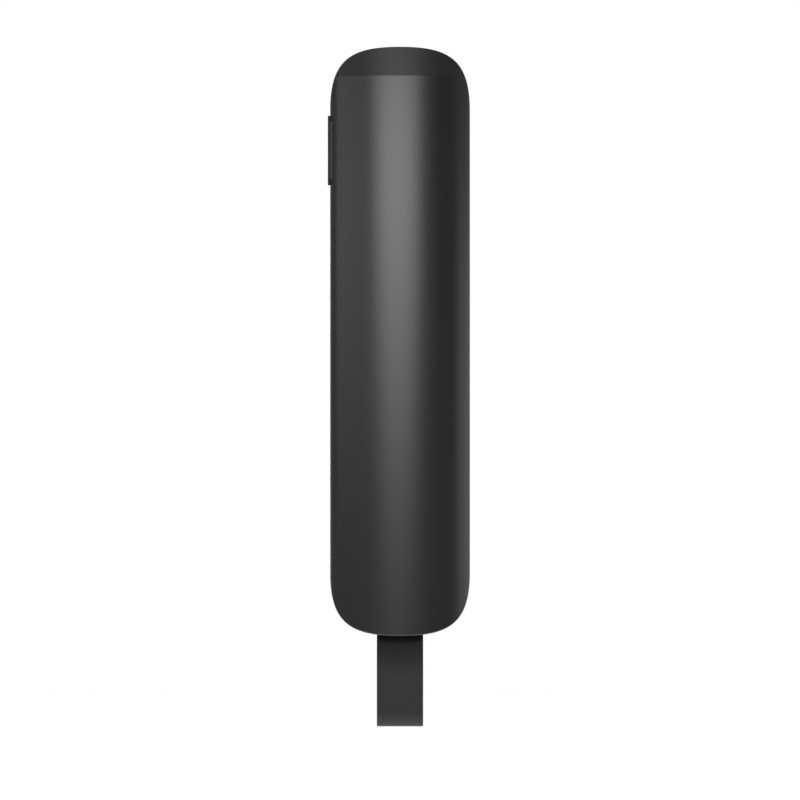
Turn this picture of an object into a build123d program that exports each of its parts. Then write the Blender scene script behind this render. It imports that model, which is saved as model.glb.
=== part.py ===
"""Wireless presentation clicker with a stowed USB receiver and a soft strap loop.

Millimetres. +Z runs from the stowed receiver up to the pointing end, +Y is the side with the
buttons, and the side key is on -X. The origin is the centre of the housing's bottom end.
"""

import os
from math import atan2, degrees, sqrt

from build123d import *

os.makedirs("parts", exist_ok=True)

# Body: oval tube whose two ends are cut to the same round outline
body_length = 115.5
body_width = 27.5
body_thickness = 12.1
end_shoulder = 9.63  # how far out the flat part of the end pulls the curve
end_lift = 2.3  # height of the curve's second control point above the end
end_reach = 12.5  # height at which the round end meets the straight side
face_wall = 1.0
side_wall = 2.0

# Clearances
slip_fit = 0.1  # inner pieces inside the tube, per side
thread_fit = 0.02  # screws in their pilot holes, radial
seat_gap = 0.1  # between pieces that stack along the length
running_fit = 0.05  # strap loop on its pin, key flange in the tube, radial
button_gap = 0.15  # round each button in its opening
screw_clearance = 0.1  # screws in their through holes, radial
screw_tip_gap = 0.3  # pilot holes beyond the screws' tips

# Small edge breaks on turned and moulded pieces
edge_break = 0.2

# Cap over the aerial
cap_length = 5.6
cap_wall = 1.2
cap_shoulder = 1.0  # ring between the cap's shell and its spigot
spigot_length = 4.6
spigot_wall = 1.0
gasket_height = 0.8
gasket_depth = 0.45
gasket_squeeze = 0.02

# Laser pointer
laser_diameter = 6.0
laser_length = 10.0
laser_setback = 1.7  # barrel's front face behind the cap's end
laser_boss_wall = 1.0
laser_aperture = 3.4
laser_bore_depth = 3.4
laser_saddle_gap = 0.3  # sled's saddle round the barrel
window_diameter = 4.4
window_thickness = 0.8
window_recess = 0.3
laser_board_width = 5.4
laser_board_length = 8.0
laser_board_thickness = 0.8
laser_pin_diameter = 0.5
laser_pin_spacing = 3.0

# Screws
screw_diameter = 1.6
screw_head_diameter = 2.8
screw_head_height = 0.8
screw_drive_width = 1.0
screw_drive_depth = 0.4
cap_screw_spacing = 12.0
cap_screw_depth = -1.2  # y of the two screws between sled and cap
cap_screw_bite = 4.0
cap_boss_diameter = 3.4
dock_screw_length = 10.0
dock_screw_bite = 4.5
board_screw_gap = 0.15  # heads of the board's screws off the tube's wall
board_screw_length = 4.0

# Receiver's garage at the bottom end
mouth_corner = 1.1
mouth_lead_in = 0.6
mouth_lead_in_angle = 45
cover_thickness = 1.2
cover_peg_length = 5.0
dock_end_wall = 1.7
spring_width = 5.0
spring_sheet = 0.2
spring_foot = 1.0
spring_span = 8.0
spring_gap = 0.05  # crest of each spring off the plug
spring_groove_depth = 0.4
spring_groove_margin = 0.1
spring_height = 7.6  # start of the bow above the bottom end

# Receiver
tail_gap = 0.1  # receiver's tail in the mouth, per side
tail_step_across = 0.35  # tail's shoulders beside the plug
tail_step_deep = 1.15  # tail's shoulders in front of the plug and behind it
tail_bridge = 1.2  # solid block above the strap's slot
neck_length = 2.5
plug_width = 12.0
plug_thickness = 4.5
plug_length = 11.9
plug_sheet = 0.3
plug_corner = 0.5
plug_window = 2.2
plug_window_spacing = 5.0
plug_window_setback = 5.2  # centre of the windows behind the plug's tip
carrier_thickness = 1.2
carrier_setback = 0.5
receiver_board_thickness = 0.7
contact_width = 1.0
contact_length = 6.4
contact_sheet = 0.1
contact_spacing = 2.3
contact_count = 4
receiver_chip_width = 4.0
receiver_chip_length = 1.6
receiver_chip_thickness = 0.7

# Strap and its pin
strap_width = 9.1
strap_thickness = 1.0
strap_drop = 17.9  # lowest point below the housing
strap_bottom_radius = 2.4  # centreline of the bottom fold
strap_side_radius = 45.0  # gentle bow of the two sides
strap_edge_round = 0.25
strap_side_gap = 0.1
strap_top_gap = 0.25  # between the loop's top and the end of its slot
pin_diameter = 1.6
pin_height = 2.2
pin_end_gap = 0.1

# Charging port
port_width = 8.94
port_thickness = 3.26
port_length = 7.35
port_corner = 1.6
port_sheet = 0.3
port_recess = 0.1
port_margin = 0.15
tongue_width = 6.7
tongue_thickness = 0.7
tongue_setback = 1.2

# Sled
rib_thickness = 2.8
end_plate = 2.0
pocket_margin = 0.6

# Main board and what is soldered on it
board_thickness = 0.8
board_edge_gap = 0.4
board_end_gap = 1.7  # board's upper end below the sled's upper end
board_tongue_length = 8.0
board_tongue_gap = 0.4
antenna_track = 0.4
antenna_pitch = 1.0
antenna_turns = 4
antenna_copper = 0.1
shield_width = 9.0
shield_length = 11.0
shield_height = 1.4
shield_sheet = 0.2
shield_corner = 0.35
shield_start = 2.7  # above the board's lower end
chip_size = 5.0
chip_height = 0.9
chip_gap = 1.6
crystal_width = 2.0
crystal_length = 3.2
crystal_height = 0.8
crystal_offset = 5.5
component_width = 0.8
component_length = 1.6
component_height = 0.6
component_spacing = 2.4
component_rows = 4
component_offset = 7.6
led_width = 1.6
led_length = 0.8
led_thickness = 0.6

# Battery
battery_width = 14.0
battery_thickness = 3.8
battery_gap = 0.63  # between the cell and the board
battery_length = 30.0
battery_corner = 0.8
pad_thickness = 0.3
pad_margin = 1.0
tab_width = 2.5
tab_thickness = 0.2
tab_spacing = 7.0

# Vibration motor
motor_diameter = 3.6
motor_length = 8.0
motor_lift = 0.4  # rubber under the can
motor_start = 1.0  # above the lower rib
motor_shaft_diameter = 0.7
weight_gap = 0.6
weight_length = 3.5
weight_play = 0.1
cradle_width = 6.0
cradle_end = 0.8

# Buttons, from the pointing end down
spigot_to_pointer = 0.8  # between the cap's spigot and the upper button's lip
pointer_diameter = 11.0
pointer_to_next = 3.5
next_width = 12.0
next_length = 18.0
next_to_back = 2.5
back_diameter = 9.0
button_rise = 0.35
button_edge_round = 0.3
button_lip = 1.0
button_travel = 0.25
next_dish_radius = 30.0
next_dish_depth = 0.5
pointer_dish_radius = 18.0
pointer_dish_depth = 0.4
back_dish_radius = 18.0
back_dish_depth = 0.3
back_to_led = 4.7
led_window_diameter = 1.6
led_window_lip = 0.5
led_window_gap = 0.3

# Tact switches under the buttons and the side key
switch_size = 4.2
switch_height = 0.7
plunger_diameter = 1.6
plunger_rise = 0.37  # button's flange above the switch
plunger_gap = 0.1

# Side key
spigot_to_key = 2.25  # between the cap's spigot and the key's lip
key_length = 13.7
key_thickness = 2.8
key_rise = 0.45
key_edge_round = 0.2
key_lip = 0.9
key_lip_across = 0.6
key_board_gap = 0.2  # between the pressed key's flange and the board's edge
key_clearance = 0.4
side_switch_length = 3.5
side_switch_depth = 3.0
side_switch_height = 2.4
side_switch_gap = 0.9
side_plunger_diameter = 1.2
side_plunger_depth = 1.0


def chord(half_width, half_thickness, height):
    """Half width of an oval at a height above its middle."""
    return half_width * sqrt(1 - (height / half_thickness) ** 2)


# Derived: sections and stations along the length
body_half_width = body_width / 2
body_half_thickness = body_thickness / 2
inner_half_width = body_half_width - side_wall
inner_half_thickness = body_half_thickness - face_wall
fit_half_width = inner_half_width - slip_fit
fit_half_thickness = inner_half_thickness - slip_fit
seam_height = body_length - cap_length
spigot_bottom = seam_height - spigot_length
chassis_top = spigot_bottom - seat_gap
strap_pin_radius = pin_diameter / 2 + running_fit + strap_thickness / 2
strap_slot_top = pin_height + strap_pin_radius + strap_thickness / 2 + strap_top_gap
tail_length = strap_slot_top + tail_bridge
tail_width = plug_width + 2 * tail_step_across
tail_thickness = plug_thickness + 2 * tail_step_deep
mouth_width = tail_width + 2 * tail_gap
mouth_thickness = tail_thickness + 2 * tail_gap
plug_tip = tail_length + plug_length
dock_depth = plug_tip + seat_gap
dock_top = dock_depth + dock_end_wall
chassis_bottom = dock_top + seat_gap
port_start = dock_depth + port_recess
port_end = port_start + port_length
board_back = port_thickness / 2
board_front = board_back + board_thickness
flange_back = board_front + switch_height + plunger_rise
board_bottom = chassis_bottom
board_top = chassis_top - board_end_gap
pocket_floor = board_back - battery_gap - battery_thickness - pad_thickness
battery_pocket = battery_width / 2 + pocket_margin
screw_pocket = cap_screw_spacing / 2 + screw_head_diameter / 2 + 2 * screw_clearance
pointer_height = spigot_bottom - spigot_to_pointer - button_lip - pointer_diameter / 2
next_height = pointer_height - pointer_diameter / 2 - pointer_to_next - next_length / 2
back_height = next_height - next_length / 2 - next_to_back - back_diameter / 2
led_height = back_height - back_diameter / 2 - back_to_led - led_window_diameter / 2
key_height = spigot_bottom - spigot_to_key - key_lip - key_length / 2
board_half_width = chord(fit_half_width, fit_half_thickness, board_front) - board_edge_gap
key_flange_face = board_half_width + button_travel + key_board_gap
rib_low = port_end + port_margin + screw_diameter
rib_low_centre = rib_low + rib_thickness / 2
end_plate_back = chassis_top - end_plate
key_pocket_bottom = key_height - side_switch_length
rib_high = key_pocket_bottom - rib_thickness
rib_high_centre = rib_high + rib_thickness / 2
battery_top = rib_high - pocket_margin
battery_bottom = battery_top - battery_length
rib_mid = battery_bottom - pocket_margin - rib_thickness
cap_screw_points = [(side * cap_screw_spacing / 2, cap_screw_depth) for side in (-1, 1)]
dock_screw_x = (mouth_width / 2 + fit_half_width) / 2
dock_screw_points = [(side * dock_screw_x, 0) for side in (-1, 1)]
board_screw_wall = chord(inner_half_width, inner_half_thickness, board_front + screw_head_height)
board_screw_x = board_screw_wall - board_screw_gap - screw_head_diameter / 2
board_screw_points = [
    (side * board_screw_x, rib_centre) for side in (-1, 1) for rib_centre in (rib_low_centre, rib_high_centre)
]
dock_screw_seat = chassis_bottom + dock_screw_bite - dock_screw_length
counterbore_diameter = screw_head_diameter + 2 * screw_clearance
motor_bottom = rib_low + rib_thickness + motor_start
motor_top = motor_bottom + motor_length
motor_y = pocket_floor + motor_lift + motor_diameter / 2
laser_front = body_length - laser_setback
laser_back = laser_front - laser_length


def front_outline(inset):
    """Body's outline seen from the front, drawn inset from its edge."""
    side = body_half_width - inset
    with BuildSketch(Plane.XZ) as outline:
        with BuildLine():
            low = Bezier((0, inset), (end_shoulder, inset), (side, end_lift + inset), (side, end_reach))
            high = Bezier(
                (side, body_length - end_reach),
                (side, body_length - end_lift - inset),
                (end_shoulder, body_length - inset),
                (0, body_length - inset),
            )
            Line(low @ 1, high @ 0)
            mirror(about=Plane.YZ)
        make_face()
    return outline.sketch


def oval_block(half_width, half_thickness, bottom, top, inset=0.0):
    """Oval bar between two heights, with its ends cut to the body's outline."""
    with BuildPart() as block:
        with BuildSketch(Plane.XY.offset(bottom)):
            Ellipse(half_width, half_thickness)
        extrude(amount=top - bottom)
        extrude(front_outline(inset), amount=body_thickness, both=True, mode=Mode.INTERSECT)
    return block.part


def head_outline(width, length, height, depth):
    """Round or oblong outline on a plane that faces the working side."""
    with BuildSketch(Plane.back.offset(depth)) as outline:
        with Locations((0, height)):
            if length > width:
                SlotOverall(length, width, rotation=90)
            else:
                Circle(width / 2)
    return outline.sketch


def faced_plug(width, length, height, half_width, half_thickness, depth):
    """Plug from a flat back at a depth out to an oval face."""
    with BuildPart() as plug:
        extrude(head_outline(width, length, height, depth), amount=body_thickness)
        with BuildSketch():
            Ellipse(half_width, half_thickness)
        extrude(amount=body_length, mode=Mode.INTERSECT)
    return plug.part


def press_button(width, length, height, bowl_radius, bowl_depth):
    """Button with a crown that follows the body, a finger bowl in it and a lip behind the wall."""
    crown = body_half_thickness + button_rise
    with BuildPart() as button:
        add(faced_plug(width, length, height, body_half_width + button_rise, crown, flange_back))
        fillet(button.faces().sort_by(Axis.Y)[-1].edges(), button_edge_round)
        with Locations((0, crown + bowl_radius - bowl_depth, height)):
            Sphere(bowl_radius, mode=Mode.SUBTRACT)
        lip_half_width = inner_half_width - running_fit
        lip_half_thickness = inner_half_thickness - running_fit
        lip = 2 * button_lip
        add(faced_plug(width + lip, length + lip, height, lip_half_width, lip_half_thickness, flange_back))
    return button.part


def key_flange(width, length, half_width, half_thickness):
    """Plate behind the side key's opening, its outer face on the tube's oval bore."""
    with BuildPart() as flange:
        with BuildSketch(Plane.left.offset(key_flange_face)):
            with Locations((0, key_height)):
                RectangleRounded(width, length, key_lip_across)
        extrude(amount=body_width)
        with BuildSketch():
            Ellipse(half_width, half_thickness)
        extrude(amount=body_length, mode=Mode.INTERSECT)
    return flange.part


def screw(length):
    """Pan-head screw with a square drive, its head's seat at the origin and its shank along +Z."""
    with BuildPart() as fastener:
        Cylinder(screw_diameter / 2, length, align=(Align.CENTER, Align.CENTER, Align.MIN))
        Cylinder(screw_head_diameter / 2, screw_head_height, align=(Align.CENTER, Align.CENTER, Align.MAX))
        fillet(fastener.edges().sort_by(Axis.Z)[0], edge_break)
        with BuildSketch(Plane.XY.offset(-screw_head_height)):
            Rectangle(screw_drive_width, screw_drive_width)
        extrude(amount=screw_drive_depth, mode=Mode.SUBTRACT)
    return fastener.part


# Housing: the aluminium tube with its openings
with BuildPart() as housing_tube:
    add(oval_block(body_half_width, body_half_thickness, 0, seam_height))
    with BuildSketch():
        Ellipse(inner_half_width, inner_half_thickness)
    extrude(amount=seam_height, mode=Mode.SUBTRACT)
    for width, length, height, gap in (
        (pointer_diameter, pointer_diameter, pointer_height, button_gap),
        (next_width, next_length, next_height, button_gap),
        (back_diameter, back_diameter, back_height, button_gap),
        (led_window_diameter, led_window_diameter, led_height, thread_fit),
    ):
        opening = head_outline(width + 2 * gap, length + 2 * gap, height, 0)
        extrude(opening, amount=body_thickness, mode=Mode.SUBTRACT)
    with BuildSketch(Plane.left):
        with Locations((0, key_height)):
            SlotOverall(key_length + 2 * button_gap, key_thickness + 2 * button_gap, rotation=90)
    extrude(amount=body_width, mode=Mode.SUBTRACT)

# Cap: closes the pointing end and lets the radio through
cap_half_width = body_half_width - cap_wall
cap_half_thickness = body_half_thickness - cap_wall
shoulder_top = seam_height + cap_shoulder
with BuildPart() as antenna_cap:
    add(oval_block(body_half_width, body_half_thickness, seam_height, body_length))
    add(oval_block(fit_half_width, fit_half_thickness, spigot_bottom, seam_height))
    add(
        oval_block(cap_half_width, cap_half_thickness, shoulder_top, body_length, cap_wall),
        mode=Mode.SUBTRACT,
    )
    with BuildSketch(Plane.XY.offset(spigot_bottom)):
        Ellipse(fit_half_width - spigot_wall, fit_half_thickness - spigot_wall)
    extrude(amount=shoulder_top - spigot_bottom, mode=Mode.SUBTRACT)
    with BuildSketch(Plane.XY.offset(spigot_bottom)):
        Circle(laser_diameter / 2 + laser_boss_wall)
        with Locations(*cap_screw_points):
            Circle(cap_boss_diameter / 2)
    extrude(amount=spigot_length + cap_length)
    extrude(front_outline(0), amount=body_thickness, both=True, mode=Mode.INTERSECT)
    with BuildSketch(Plane.XY.offset(spigot_bottom)):
        Circle(laser_diameter / 2 + thread_fit)
    extrude(amount=laser_front - spigot_bottom, mode=Mode.SUBTRACT)
    with BuildSketch(Plane.XY.offset(laser_front)):
        Circle(laser_aperture / 2)
    extrude(amount=body_length - laser_front, mode=Mode.SUBTRACT)
    with BuildSketch(Plane.XY.offset(body_length - window_recess - window_thickness)):
        Circle(window_diameter / 2 + thread_fit)
    extrude(amount=window_recess + window_thickness, mode=Mode.SUBTRACT)
    with BuildSketch(Plane.XY.offset(spigot_bottom)):
        with Locations(*cap_screw_points):
            Circle(screw_diameter / 2 + thread_fit)
    extrude(amount=cap_screw_bite + screw_tip_gap, mode=Mode.SUBTRACT)
    with BuildSketch(Plane.XY.offset(spigot_bottom + (spigot_length - gasket_height) / 2)):
        Ellipse(fit_half_width, fit_half_thickness)
        Ellipse(fit_half_width - gasket_depth, fit_half_thickness - gasket_depth, mode=Mode.SUBTRACT)
    extrude(amount=gasket_height, mode=Mode.SUBTRACT)

with BuildPart() as cap_gasket:
    with BuildSketch(Plane.XY.offset(spigot_bottom + (spigot_length - gasket_height) / 2)):
        Ellipse(inner_half_width - gasket_squeeze, inner_half_thickness - gasket_squeeze)
        Ellipse(
            fit_half_width - gasket_depth + gasket_squeeze,
            fit_half_thickness - gasket_depth + gasket_squeeze,
            mode=Mode.SUBTRACT,
        )
    extrude(amount=gasket_height)

# Laser pointer in the cap's boss
with BuildPart() as laser_window:
    with BuildSketch(Plane.XY.offset(body_length - window_recess - window_thickness)):
        Circle(window_diameter / 2)
    extrude(amount=window_thickness)
    chamfer(laser_window.edges().sort_by(Axis.Z)[-1], edge_break)

with BuildPart() as laser_barrel:
    with BuildSketch(Plane.XY.offset(laser_back)):
        Circle(laser_diameter / 2)
    extrude(amount=laser_length)
    with BuildSketch(Plane.XY.offset(laser_front)):
        Circle(laser_aperture / 2)
    extrude(amount=-laser_bore_depth, mode=Mode.SUBTRACT)
    chamfer(laser_barrel.edges().sort_by(Axis.Z)[0], edge_break)

with BuildPart() as laser_board:
    with BuildSketch(Plane.XY.offset(laser_back)):
        Rectangle(laser_board_width, laser_board_thickness)
    extrude(amount=-laser_board_length)

laser_pin_height = laser_back - laser_board_length + 2 * laser_pin_diameter
with BuildPart() as laser_pins:
    with BuildSketch(Plane.back.offset(laser_board_thickness / 2)):
        with Locations((0, laser_pin_height)):
            with GridLocations(laser_pin_spacing, 1, 2, 1):
                Circle(laser_pin_diameter / 2)
    extrude(amount=board_back - laser_board_thickness / 2)

# Sled: carries the board, battery, motor and laser, and is open towards the buttons
key_lip_half = key_thickness / 2 + key_lip_across
with BuildPart() as chassis:
    add(oval_block(fit_half_width, fit_half_thickness, chassis_bottom, chassis_top))
    with BuildSketch(Plane.back.offset(board_back)):
        with Locations((0, body_length / 2)):
            Rectangle(body_width, body_length)
    extrude(amount=body_thickness, mode=Mode.SUBTRACT)
    pockets = (
        (chassis_bottom - seat_gap, rib_low, port_width / 2 + pocket_margin),
        (rib_low + rib_thickness, rib_mid, cradle_width / 2 + pocket_margin),
        (rib_mid + rib_thickness, rib_high, battery_pocket),
        (rib_high + rib_thickness, end_plate_back, screw_pocket),
    )
    for pocket_start, pocket_end, pocket_reach in pockets:
        with BuildSketch(Plane.back.offset(board_back)):
            with Locations((0, (pocket_start + pocket_end) / 2)):
                Rectangle(2 * pocket_reach, pocket_end - pocket_start)
        extrude(amount=pocket_floor - board_back, mode=Mode.SUBTRACT)
    # saddle for the laser barrel and through holes for the cap's screws
    with BuildSketch(Plane.XY.offset(end_plate_back)):
        Circle(laser_diameter / 2 + laser_saddle_gap)
        with Locations((0, body_half_thickness / 2)):
            Rectangle(laser_diameter + 2 * laser_saddle_gap, body_half_thickness)
        with Locations(*cap_screw_points):
            Circle(screw_diameter / 2 + screw_clearance)
    extrude(amount=end_plate, mode=Mode.SUBTRACT)
    # pilot holes for the dock's screws
    with BuildSketch(Plane.XY.offset(chassis_bottom)):
        with Locations(*dock_screw_points):
            Circle(screw_diameter / 2 + thread_fit)
    extrude(amount=dock_screw_bite + screw_tip_gap, mode=Mode.SUBTRACT)
    # pilot holes for the board's screws
    with BuildSketch(Plane.back.offset(board_back)):
        with Locations(*board_screw_points):
            Circle(screw_diameter / 2 + thread_fit)
    extrude(amount=board_thickness - board_screw_length - screw_tip_gap, mode=Mode.SUBTRACT)
    # room for the side key's flange and for its switch
    with BuildSketch(Plane.left.offset(key_flange_face - button_travel - button_gap)):
        with Locations((0, key_height)):
            Rectangle(2 * (key_lip_half + key_clearance), key_length + 2 * (key_lip + key_clearance))
    extrude(amount=body_width, mode=Mode.SUBTRACT)
    with BuildSketch(Plane.left.offset(screw_pocket - pocket_margin)):
        with Locations((side_switch_height / 2 - board_back, key_height)):
            Rectangle(side_switch_height + pocket_margin, side_switch_length + pocket_margin)
    extrude(amount=body_width, mode=Mode.SUBTRACT)

with BuildPart() as cap_screws:
    for across, depth in cap_screw_points:
        with Locations((across, depth, end_plate_back)):
            add(screw(end_plate + seat_gap + cap_screw_bite))

# Receiver's garage
with BuildPart() as base_cover:
    add(oval_block(fit_half_width, fit_half_thickness, 0, end_reach))
    extrude(front_outline(cover_thickness), amount=body_thickness, both=True, mode=Mode.SUBTRACT)
    with BuildSketch():
        with Locations(*dock_screw_points):
            Circle(counterbore_diameter / 2 - running_fit)
    extrude(amount=cover_thickness + cover_peg_length)
    extrude(front_outline(0), amount=body_thickness, both=True, mode=Mode.INTERSECT)
    with BuildSketch():
        RectangleRounded(mouth_width, mouth_thickness, mouth_corner)
    extrude(amount=end_reach, mode=Mode.SUBTRACT)
    with BuildSketch():
        RectangleRounded(mouth_width + 2 * mouth_lead_in, mouth_thickness + 2 * mouth_lead_in, mouth_corner)
    extrude(amount=mouth_lead_in, taper=mouth_lead_in_angle, mode=Mode.SUBTRACT)

with BuildPart() as dock_frame:
    add(oval_block(fit_half_width, fit_half_thickness, 0, dock_top, cover_thickness + thread_fit))
    with BuildSketch():
        RectangleRounded(mouth_width, mouth_thickness, mouth_corner)
    extrude(amount=dock_depth, mode=Mode.SUBTRACT)
    with BuildSketch(Plane.XY.offset(dock_depth)):
        RectangleRounded(port_width + 2 * port_margin, port_thickness + 2 * port_margin, port_corner)
    extrude(amount=dock_end_wall, mode=Mode.SUBTRACT)
    with BuildSketch():
        with Locations(*dock_screw_points):
            Circle(counterbore_diameter / 2)
    extrude(amount=dock_screw_seat, mode=Mode.SUBTRACT)
    with BuildSketch():
        with Locations(*dock_screw_points):
            Circle(screw_diameter / 2 + screw_clearance)
    extrude(amount=dock_top, mode=Mode.SUBTRACT)
    with BuildSketch(Plane.YZ):
        with Locations((0, spring_height + spring_span / 2)):
            Rectangle(
                mouth_thickness + 2 * spring_groove_depth,
                spring_span + 2 * (spring_foot + spring_groove_margin),
            )
    extrude(amount=spring_width / 2 + spring_groove_margin, both=True, mode=Mode.SUBTRACT)

with BuildPart() as dock_screws:
    for across, depth in dock_screw_points:
        with Locations((across, depth, dock_screw_seat)):
            add(screw(dock_screw_length))

spring_seat = mouth_thickness / 2 + spring_groove_depth
spring_crest = plug_thickness / 2 + spring_gap
spring_end = spring_height + spring_span
with BuildPart() as dock_springs:
    with BuildSketch(Plane.YZ):
        with BuildLine():
            outer_bow = ThreePointArc(
                (spring_seat, spring_height),
                (spring_crest + spring_sheet, spring_height + spring_span / 2),
                (spring_seat, spring_end),
            )
            inner_bow = ThreePointArc(
                (spring_seat - spring_sheet, spring_height),
                (spring_crest, spring_height + spring_span / 2),
                (spring_seat - spring_sheet, spring_end),
            )
            Polyline(
                outer_bow @ 1,
                (spring_seat, spring_end + spring_foot),
                (spring_seat - spring_sheet, spring_end + spring_foot),
                inner_bow @ 1,
            )
            Polyline(
                outer_bow @ 0,
                (spring_seat, spring_height - spring_foot),
                (spring_seat - spring_sheet, spring_height - spring_foot),
                inner_bow @ 0,
            )
        make_face()
        mirror(about=Plane.YZ)
    extrude(amount=spring_width / 2, both=True)

# Main board, its aerial and its parts
board_tongue_outer = (
    chord(fit_half_width - spigot_wall, fit_half_thickness - spigot_wall, board_front + antenna_copper)
    - board_tongue_gap
)
board_tongue_inner = laser_diameter / 2 + laser_boss_wall + board_tongue_gap
board_tongue_width = board_tongue_outer - board_tongue_inner
board_tongue_x = (board_tongue_outer + board_tongue_inner) / 2
with BuildPart() as main_board:
    with BuildSketch(Plane.back.offset(board_back)):
        with Locations((0, (board_bottom + board_top) / 2)):
            Rectangle(2 * board_half_width, board_top - board_bottom)
        with Locations((-board_tongue_x, board_top + board_tongue_length / 2)):
            Rectangle(board_tongue_width, board_tongue_length)
        with Locations(*board_screw_points):
            Circle(screw_diameter / 2 + screw_clearance, mode=Mode.SUBTRACT)
    extrude(amount=board_thickness)

with BuildPart() as board_screws:
    for across, height in board_screw_points:
        with Locations(Location((across, board_front, height), (90, 0, 0))):
            add(screw(board_screw_length))

antenna_base = board_top + board_tongue_length - (antenna_turns + 1) * antenna_pitch
antenna_span = board_tongue_width - 2 * antenna_track
with BuildPart() as antenna_trace:
    with BuildSketch(Plane.back.offset(board_front)):
        for turn in range(antenna_turns + 1):
            with Locations((-board_tongue_x, antenna_base + turn * antenna_pitch)):
                Rectangle(antenna_span, antenna_track)
        for turn in range(antenna_turns):
            end_x = (antenna_span - antenna_track) / 2 * (-1) ** turn
            with Locations((-board_tongue_x + end_x, antenna_base + (turn + 0.5) * antenna_pitch)):
                Rectangle(antenna_track, antenna_pitch)
    extrude(amount=antenna_copper)

shield_bottom = board_bottom + shield_start
with BuildPart() as shield_can:
    with BuildSketch(Plane.back.offset(board_front)):
        with Locations((0, shield_bottom + shield_length / 2)):
            Rectangle(shield_width, shield_length)
    extrude(amount=shield_height)
    fillet(shield_can.edges().filter_by(Axis.Y), shield_corner)
    with BuildSketch(Plane.back.offset(board_front)):
        with Locations((0, shield_bottom + shield_length / 2)):
            Rectangle(shield_width - 2 * shield_sheet, shield_length - 2 * shield_sheet)
    extrude(amount=shield_height - shield_sheet, mode=Mode.SUBTRACT)

chip_centre = shield_bottom + shield_length + chip_gap + chip_size / 2
with BuildPart() as controller_chip:
    with BuildSketch(Plane.back.offset(board_front)):
        with Locations((0, chip_centre)):
            Rectangle(chip_size, chip_size)
    extrude(amount=chip_height)
    chamfer(controller_chip.faces().sort_by(Axis.Y)[-1].edges(), edge_break)

with BuildPart() as crystal:
    with BuildSketch(Plane.back.offset(board_front)):
        with Locations((crystal_offset, chip_centre)):
            Rectangle(crystal_width, crystal_length)
    extrude(amount=crystal_height)

with BuildPart() as board_components:
    with BuildSketch(Plane.back.offset(board_front)):
        with Locations((0, chip_centre)):
            with GridLocations(2 * component_offset, component_spacing, 2, component_rows):
                Rectangle(component_width, component_length)
    extrude(amount=component_height)

with BuildPart() as status_led:
    with BuildSketch(Plane.back.offset(board_front)):
        with Locations((0, led_height)):
            Rectangle(led_width, led_length)
    extrude(amount=led_thickness)

led_window_seat = board_front + led_thickness + led_window_gap
led_window_collar = led_window_diameter + 2 * led_window_lip
with BuildPart() as led_window:
    for width, half_width, half_thickness in (
        (led_window_collar, inner_half_width, inner_half_thickness),
        (led_window_diameter, body_half_width, body_half_thickness),
    ):
        add(faced_plug(width, width, led_height, half_width, half_thickness, led_window_seat))

# Charging port on the board's back
with BuildPart() as usb_c_shell:
    with BuildSketch(Plane.XY.offset(port_start)):
        RectangleRounded(port_width, port_thickness, port_corner)
    extrude(amount=port_length)
    with BuildSketch(Plane.XY.offset(port_start)):
        RectangleRounded(
            port_width - 2 * port_sheet, port_thickness - 2 * port_sheet, port_corner - port_sheet
        )
    extrude(amount=port_length - port_sheet, mode=Mode.SUBTRACT)

with BuildPart() as usb_c_tongue:
    with BuildSketch(Plane.XY.offset(port_start + tongue_setback)):
        Rectangle(tongue_width, tongue_thickness)
    extrude(amount=port_length - port_sheet - tongue_setback)

# Battery in its pocket
with BuildPart() as battery_pad:
    with BuildSketch(Plane.back.offset(pocket_floor)):
        with Locations((0, (battery_bottom + battery_top) / 2)):
            Rectangle(battery_width - 2 * pad_margin, battery_length - 2 * pad_margin)
    extrude(amount=pad_thickness)

battery_back = pocket_floor + pad_thickness
with BuildPart() as battery_cell:
    with BuildSketch(Plane.back.offset(battery_back)):
        with Locations((0, (battery_bottom + battery_top) / 2)):
            Rectangle(battery_width, battery_length)
    extrude(amount=battery_thickness)
    fillet(battery_cell.edges().filter_by(Axis.Z), battery_corner)

with BuildPart() as battery_tabs:
    with BuildSketch(Plane.XY.offset(battery_top)):
        for side in (-1, 1):
            with Locations((side * tab_spacing / 2, (battery_back + battery_corner + board_back) / 2)):
                Rectangle(tab_width, board_back - battery_back - battery_corner)
    extrude(amount=tab_thickness)

# Vibration motor in its rubber cradle
with BuildPart() as motor_cradle:
    with BuildSketch(Plane.XY.offset(motor_bottom + cradle_end)):
        with Locations((0, (pocket_floor + motor_y) / 2)):
            Rectangle(cradle_width, motor_y - pocket_floor)
        with Locations((0, motor_y)):
            Circle(motor_diameter / 2 + thread_fit, mode=Mode.SUBTRACT)
    extrude(amount=motor_length - 2 * cradle_end)

with BuildPart() as motor_can:
    with BuildSketch(Plane.XY.offset(motor_bottom)):
        with Locations((0, motor_y)):
            Circle(motor_diameter / 2)
    extrude(amount=motor_length)
    fillet(motor_can.edges(), edge_break)
    with BuildSketch(Plane.XY.offset(motor_top - cradle_end)):
        with Locations((0, motor_y)):
            Circle(motor_shaft_diameter / 2 + running_fit)
    extrude(amount=cradle_end, mode=Mode.SUBTRACT)

with BuildPart() as motor_weight:
    with BuildSketch(Plane.XY.offset(motor_top + weight_gap)):
        with Locations((0, motor_y)):
            Circle(motor_diameter / 2 - weight_play)
            with Locations((0, motor_diameter / 2 + motor_shaft_diameter / 2)):
                Rectangle(motor_diameter, motor_diameter, mode=Mode.SUBTRACT)
            Circle(motor_shaft_diameter)
    extrude(amount=weight_length)
    with BuildSketch(Plane.XY.offset(motor_top - cradle_end + running_fit)):
        with Locations((0, motor_y)):
            Circle(motor_shaft_diameter / 2)
    extrude(amount=cradle_end + weight_gap)


# Buttons on the working side
with BuildPart() as pointer_button:
    add(
        press_button(
            pointer_diameter, pointer_diameter, pointer_height, pointer_dish_radius, pointer_dish_depth
        )
    )

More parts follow.
